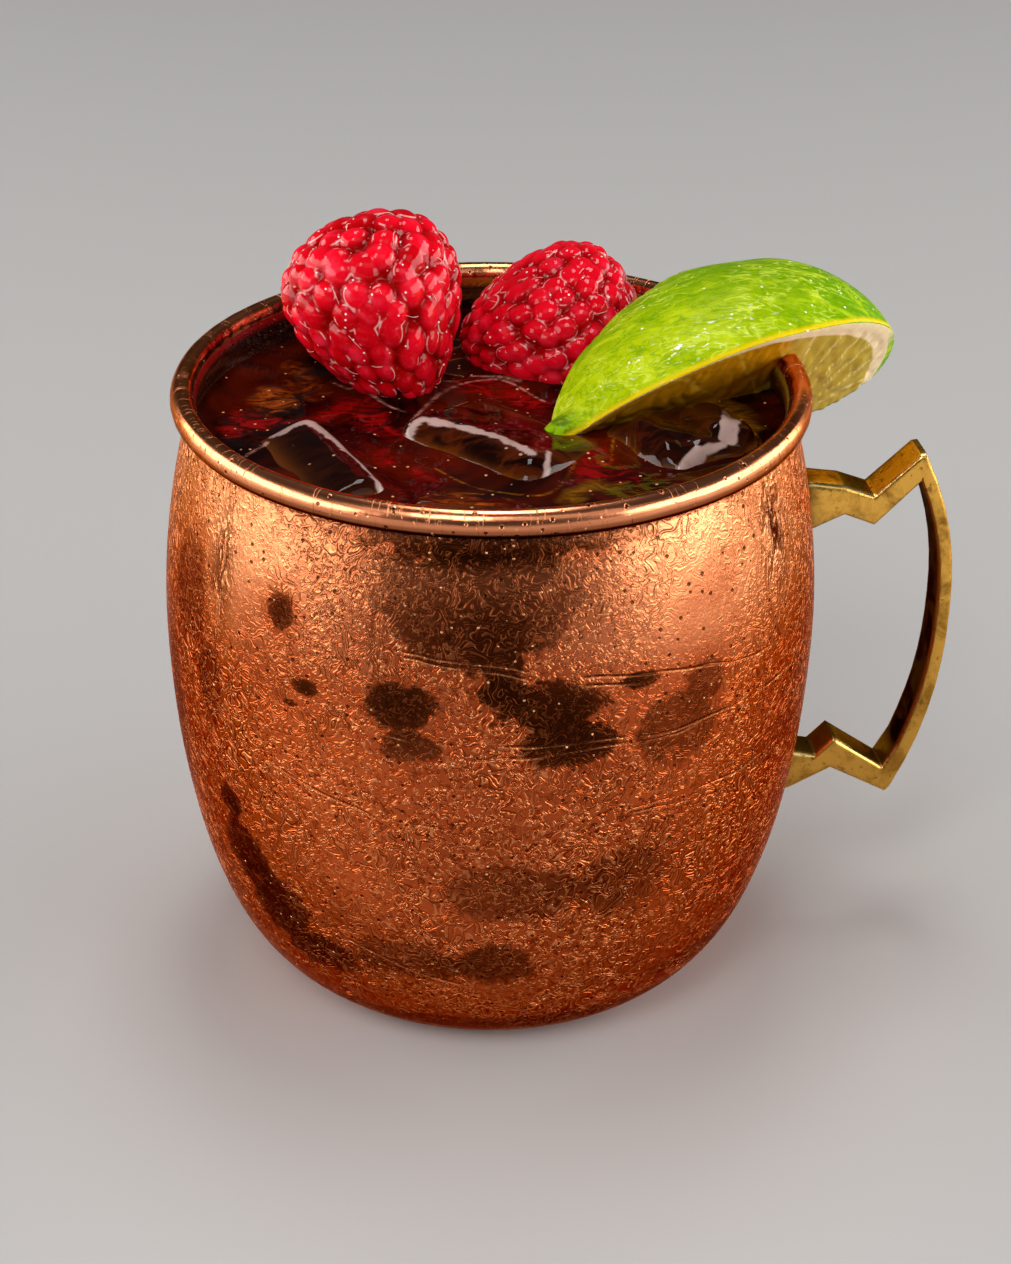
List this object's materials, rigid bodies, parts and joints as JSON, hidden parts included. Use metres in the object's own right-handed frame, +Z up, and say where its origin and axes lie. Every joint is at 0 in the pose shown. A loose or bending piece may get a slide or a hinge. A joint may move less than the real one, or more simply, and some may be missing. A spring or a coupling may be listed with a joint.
{
  "type": "moscow mule",
  "caption": "Moscow mule: a barrel-shaped copper mug with a rolled lip and an angular brass handle, full of dark drink with ice, raspberries and a wedge of lime over the rim.",
  "frame": {"origin": "centre of the mug's flat base, on the surface it stands on", "axes": "+Z up, +X towards the handle's grip, +Y towards the side with the raspberries"},
  "size_m": [0.1111, 0.09, 0.1051],
  "materials": {
    "aged_copper": "aged copper, brushed and finely etched, with dark stains",
    "aged_brass": "aged cast brass, satin with dark spots",
    "dark_drink": "dark red-brown liquid",
    "ice": "wet clear ice",
    "raspberry": "juicy crimson fruit",
    "lime": "waxy green rind and wet yellow-green flesh"
  },
  "bodies": {
    "root": {"mug": "aged_copper", "handle": "aged_brass", "drink": "dark_drink", "ice_centre": "ice", "ice_left": "ice", "ice_right": "ice", "ice_front": "ice", "raspberry_left": "raspberry", "raspberry_right": "raspberry", "lime_wedge": "lime"}
  },
  "joints": []
}
